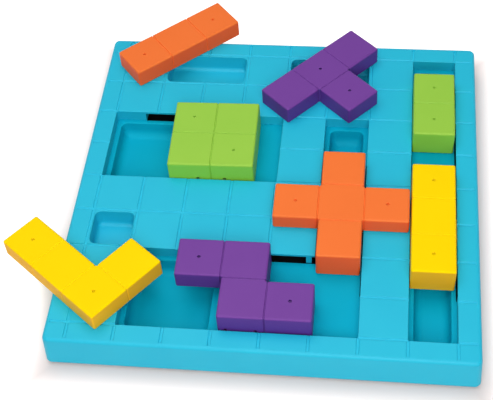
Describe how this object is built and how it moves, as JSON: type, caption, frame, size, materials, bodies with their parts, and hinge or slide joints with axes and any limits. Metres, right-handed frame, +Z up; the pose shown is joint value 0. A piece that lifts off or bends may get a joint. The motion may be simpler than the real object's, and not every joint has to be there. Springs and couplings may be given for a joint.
{
  "type": "dog puzzle feeder toy",
  "caption": "Square puzzle feeder tray with scored grid and stepped treat wells, sliding cell-shaped blocks held by side tabs, and loose blocks that lift off small pockets.",
  "frame": {"origin": "centre of the tray on the surface it stands on, at the underside of the middle foot", "axes": "+X to the right, +Y towards the back, +Z up; the grid lies along X and Y"},
  "size_m": [0.3448, 0.3375, 0.0455],
  "materials": {
    "tray_blue": "light blue moulded plastic, fine satin sheen",
    "cover_charcoal": "charcoal grey moulded plastic, fine satin sheen",
    "block_green": "light green moulded plastic, fine satin sheen",
    "block_purple": "purple moulded plastic, fine satin sheen",
    "block_orange": "orange moulded plastic, fine satin sheen",
    "block_yellow": "yellow moulded plastic, fine satin sheen",
    "foot_rubber": "dark matt rubber",
    "screw_steel": "zinc-plated steel"
  },
  "bodies": {
    "tray": {"deck": "tray_blue", "wells": "tray_blue", "base_cover": "cover_charcoal", "base_screws": "screw_steel", "foot_front_left": "foot_rubber", "foot_front_right": "foot_rubber", "foot_back_left": "foot_rubber", "foot_back_right": "foot_rubber", "foot_centre": "foot_rubber"},
    "green_square": {"green_square_cap": "block_green", "green_square_runner": "block_green", "green_square_screws": "screw_steel"},
    "purple_step": {"purple_step_cap": "block_purple", "purple_step_runner": "block_purple", "purple_step_screws": "screw_steel"},
    "orange_cross": {"orange_cross_cap": "block_orange", "orange_cross_runner": "block_orange", "orange_cross_screws": "screw_steel"},
    "yellow_bar": {"yellow_bar_cap": "block_yellow", "yellow_bar_runner": "block_yellow", "yellow_bar_screws": "screw_steel"},
    "green_domino": {"green_domino_cap": "block_green", "green_domino_runner": "block_green", "green_domino_screws": "screw_steel"},
    "orange_stick": {"orange_stick_cap": "block_orange", "orange_stick_plate": "block_orange", "orange_stick_screws": "screw_steel"},
    "purple_tee": {"purple_tee_cap": "block_purple", "purple_tee_plate": "block_purple", "purple_tee_screws": "screw_steel"},
    "yellow_ell": {"yellow_ell_cap": "block_yellow", "yellow_ell_plate": "block_yellow", "yellow_ell_screws": "screw_steel"}
  },
  "joints": [
    {"name": "green_square_slide", "type": "slide", "parent": "tray", "child": "green_square", "axis": [1, 0, 0], "range_m": [-0.05, 0.016]},
    {"name": "purple_step_slide", "type": "slide", "parent": "tray", "child": "purple_step", "axis": [1, 0, 0], "range_m": [-0.0102, 0.0306]},
    {"name": "orange_cross_slide", "type": "slide", "parent": "tray", "child": "orange_cross", "axis": [0, 1, 0], "range_m": [-0.02346, 0.03978]},
    {"name": "yellow_bar_slide", "type": "slide", "parent": "tray", "child": "yellow_bar", "axis": [0, 1, 0], "range_m": [-0.04828, 0.01496]},
    {"name": "green_domino_slide", "type": "slide", "parent": "tray", "child": "green_domino", "axis": [0, 1, 0], "range_m": [-0.01224, 0.0255]},
    {"name": "orange_stick_lift", "type": "slide", "parent": "tray", "child": "orange_stick", "axis": [0, 0, 1], "range_m": [0, 0.06]},
    {"name": "purple_tee_lift", "type": "slide", "parent": "tray", "child": "purple_tee", "axis": [0, 0, 1], "range_m": [0, 0.06]},
    {"name": "yellow_ell_lift", "type": "slide", "parent": "tray", "child": "yellow_ell", "axis": [0, 0, 1], "range_m": [0, 0.06]}
  ]
}
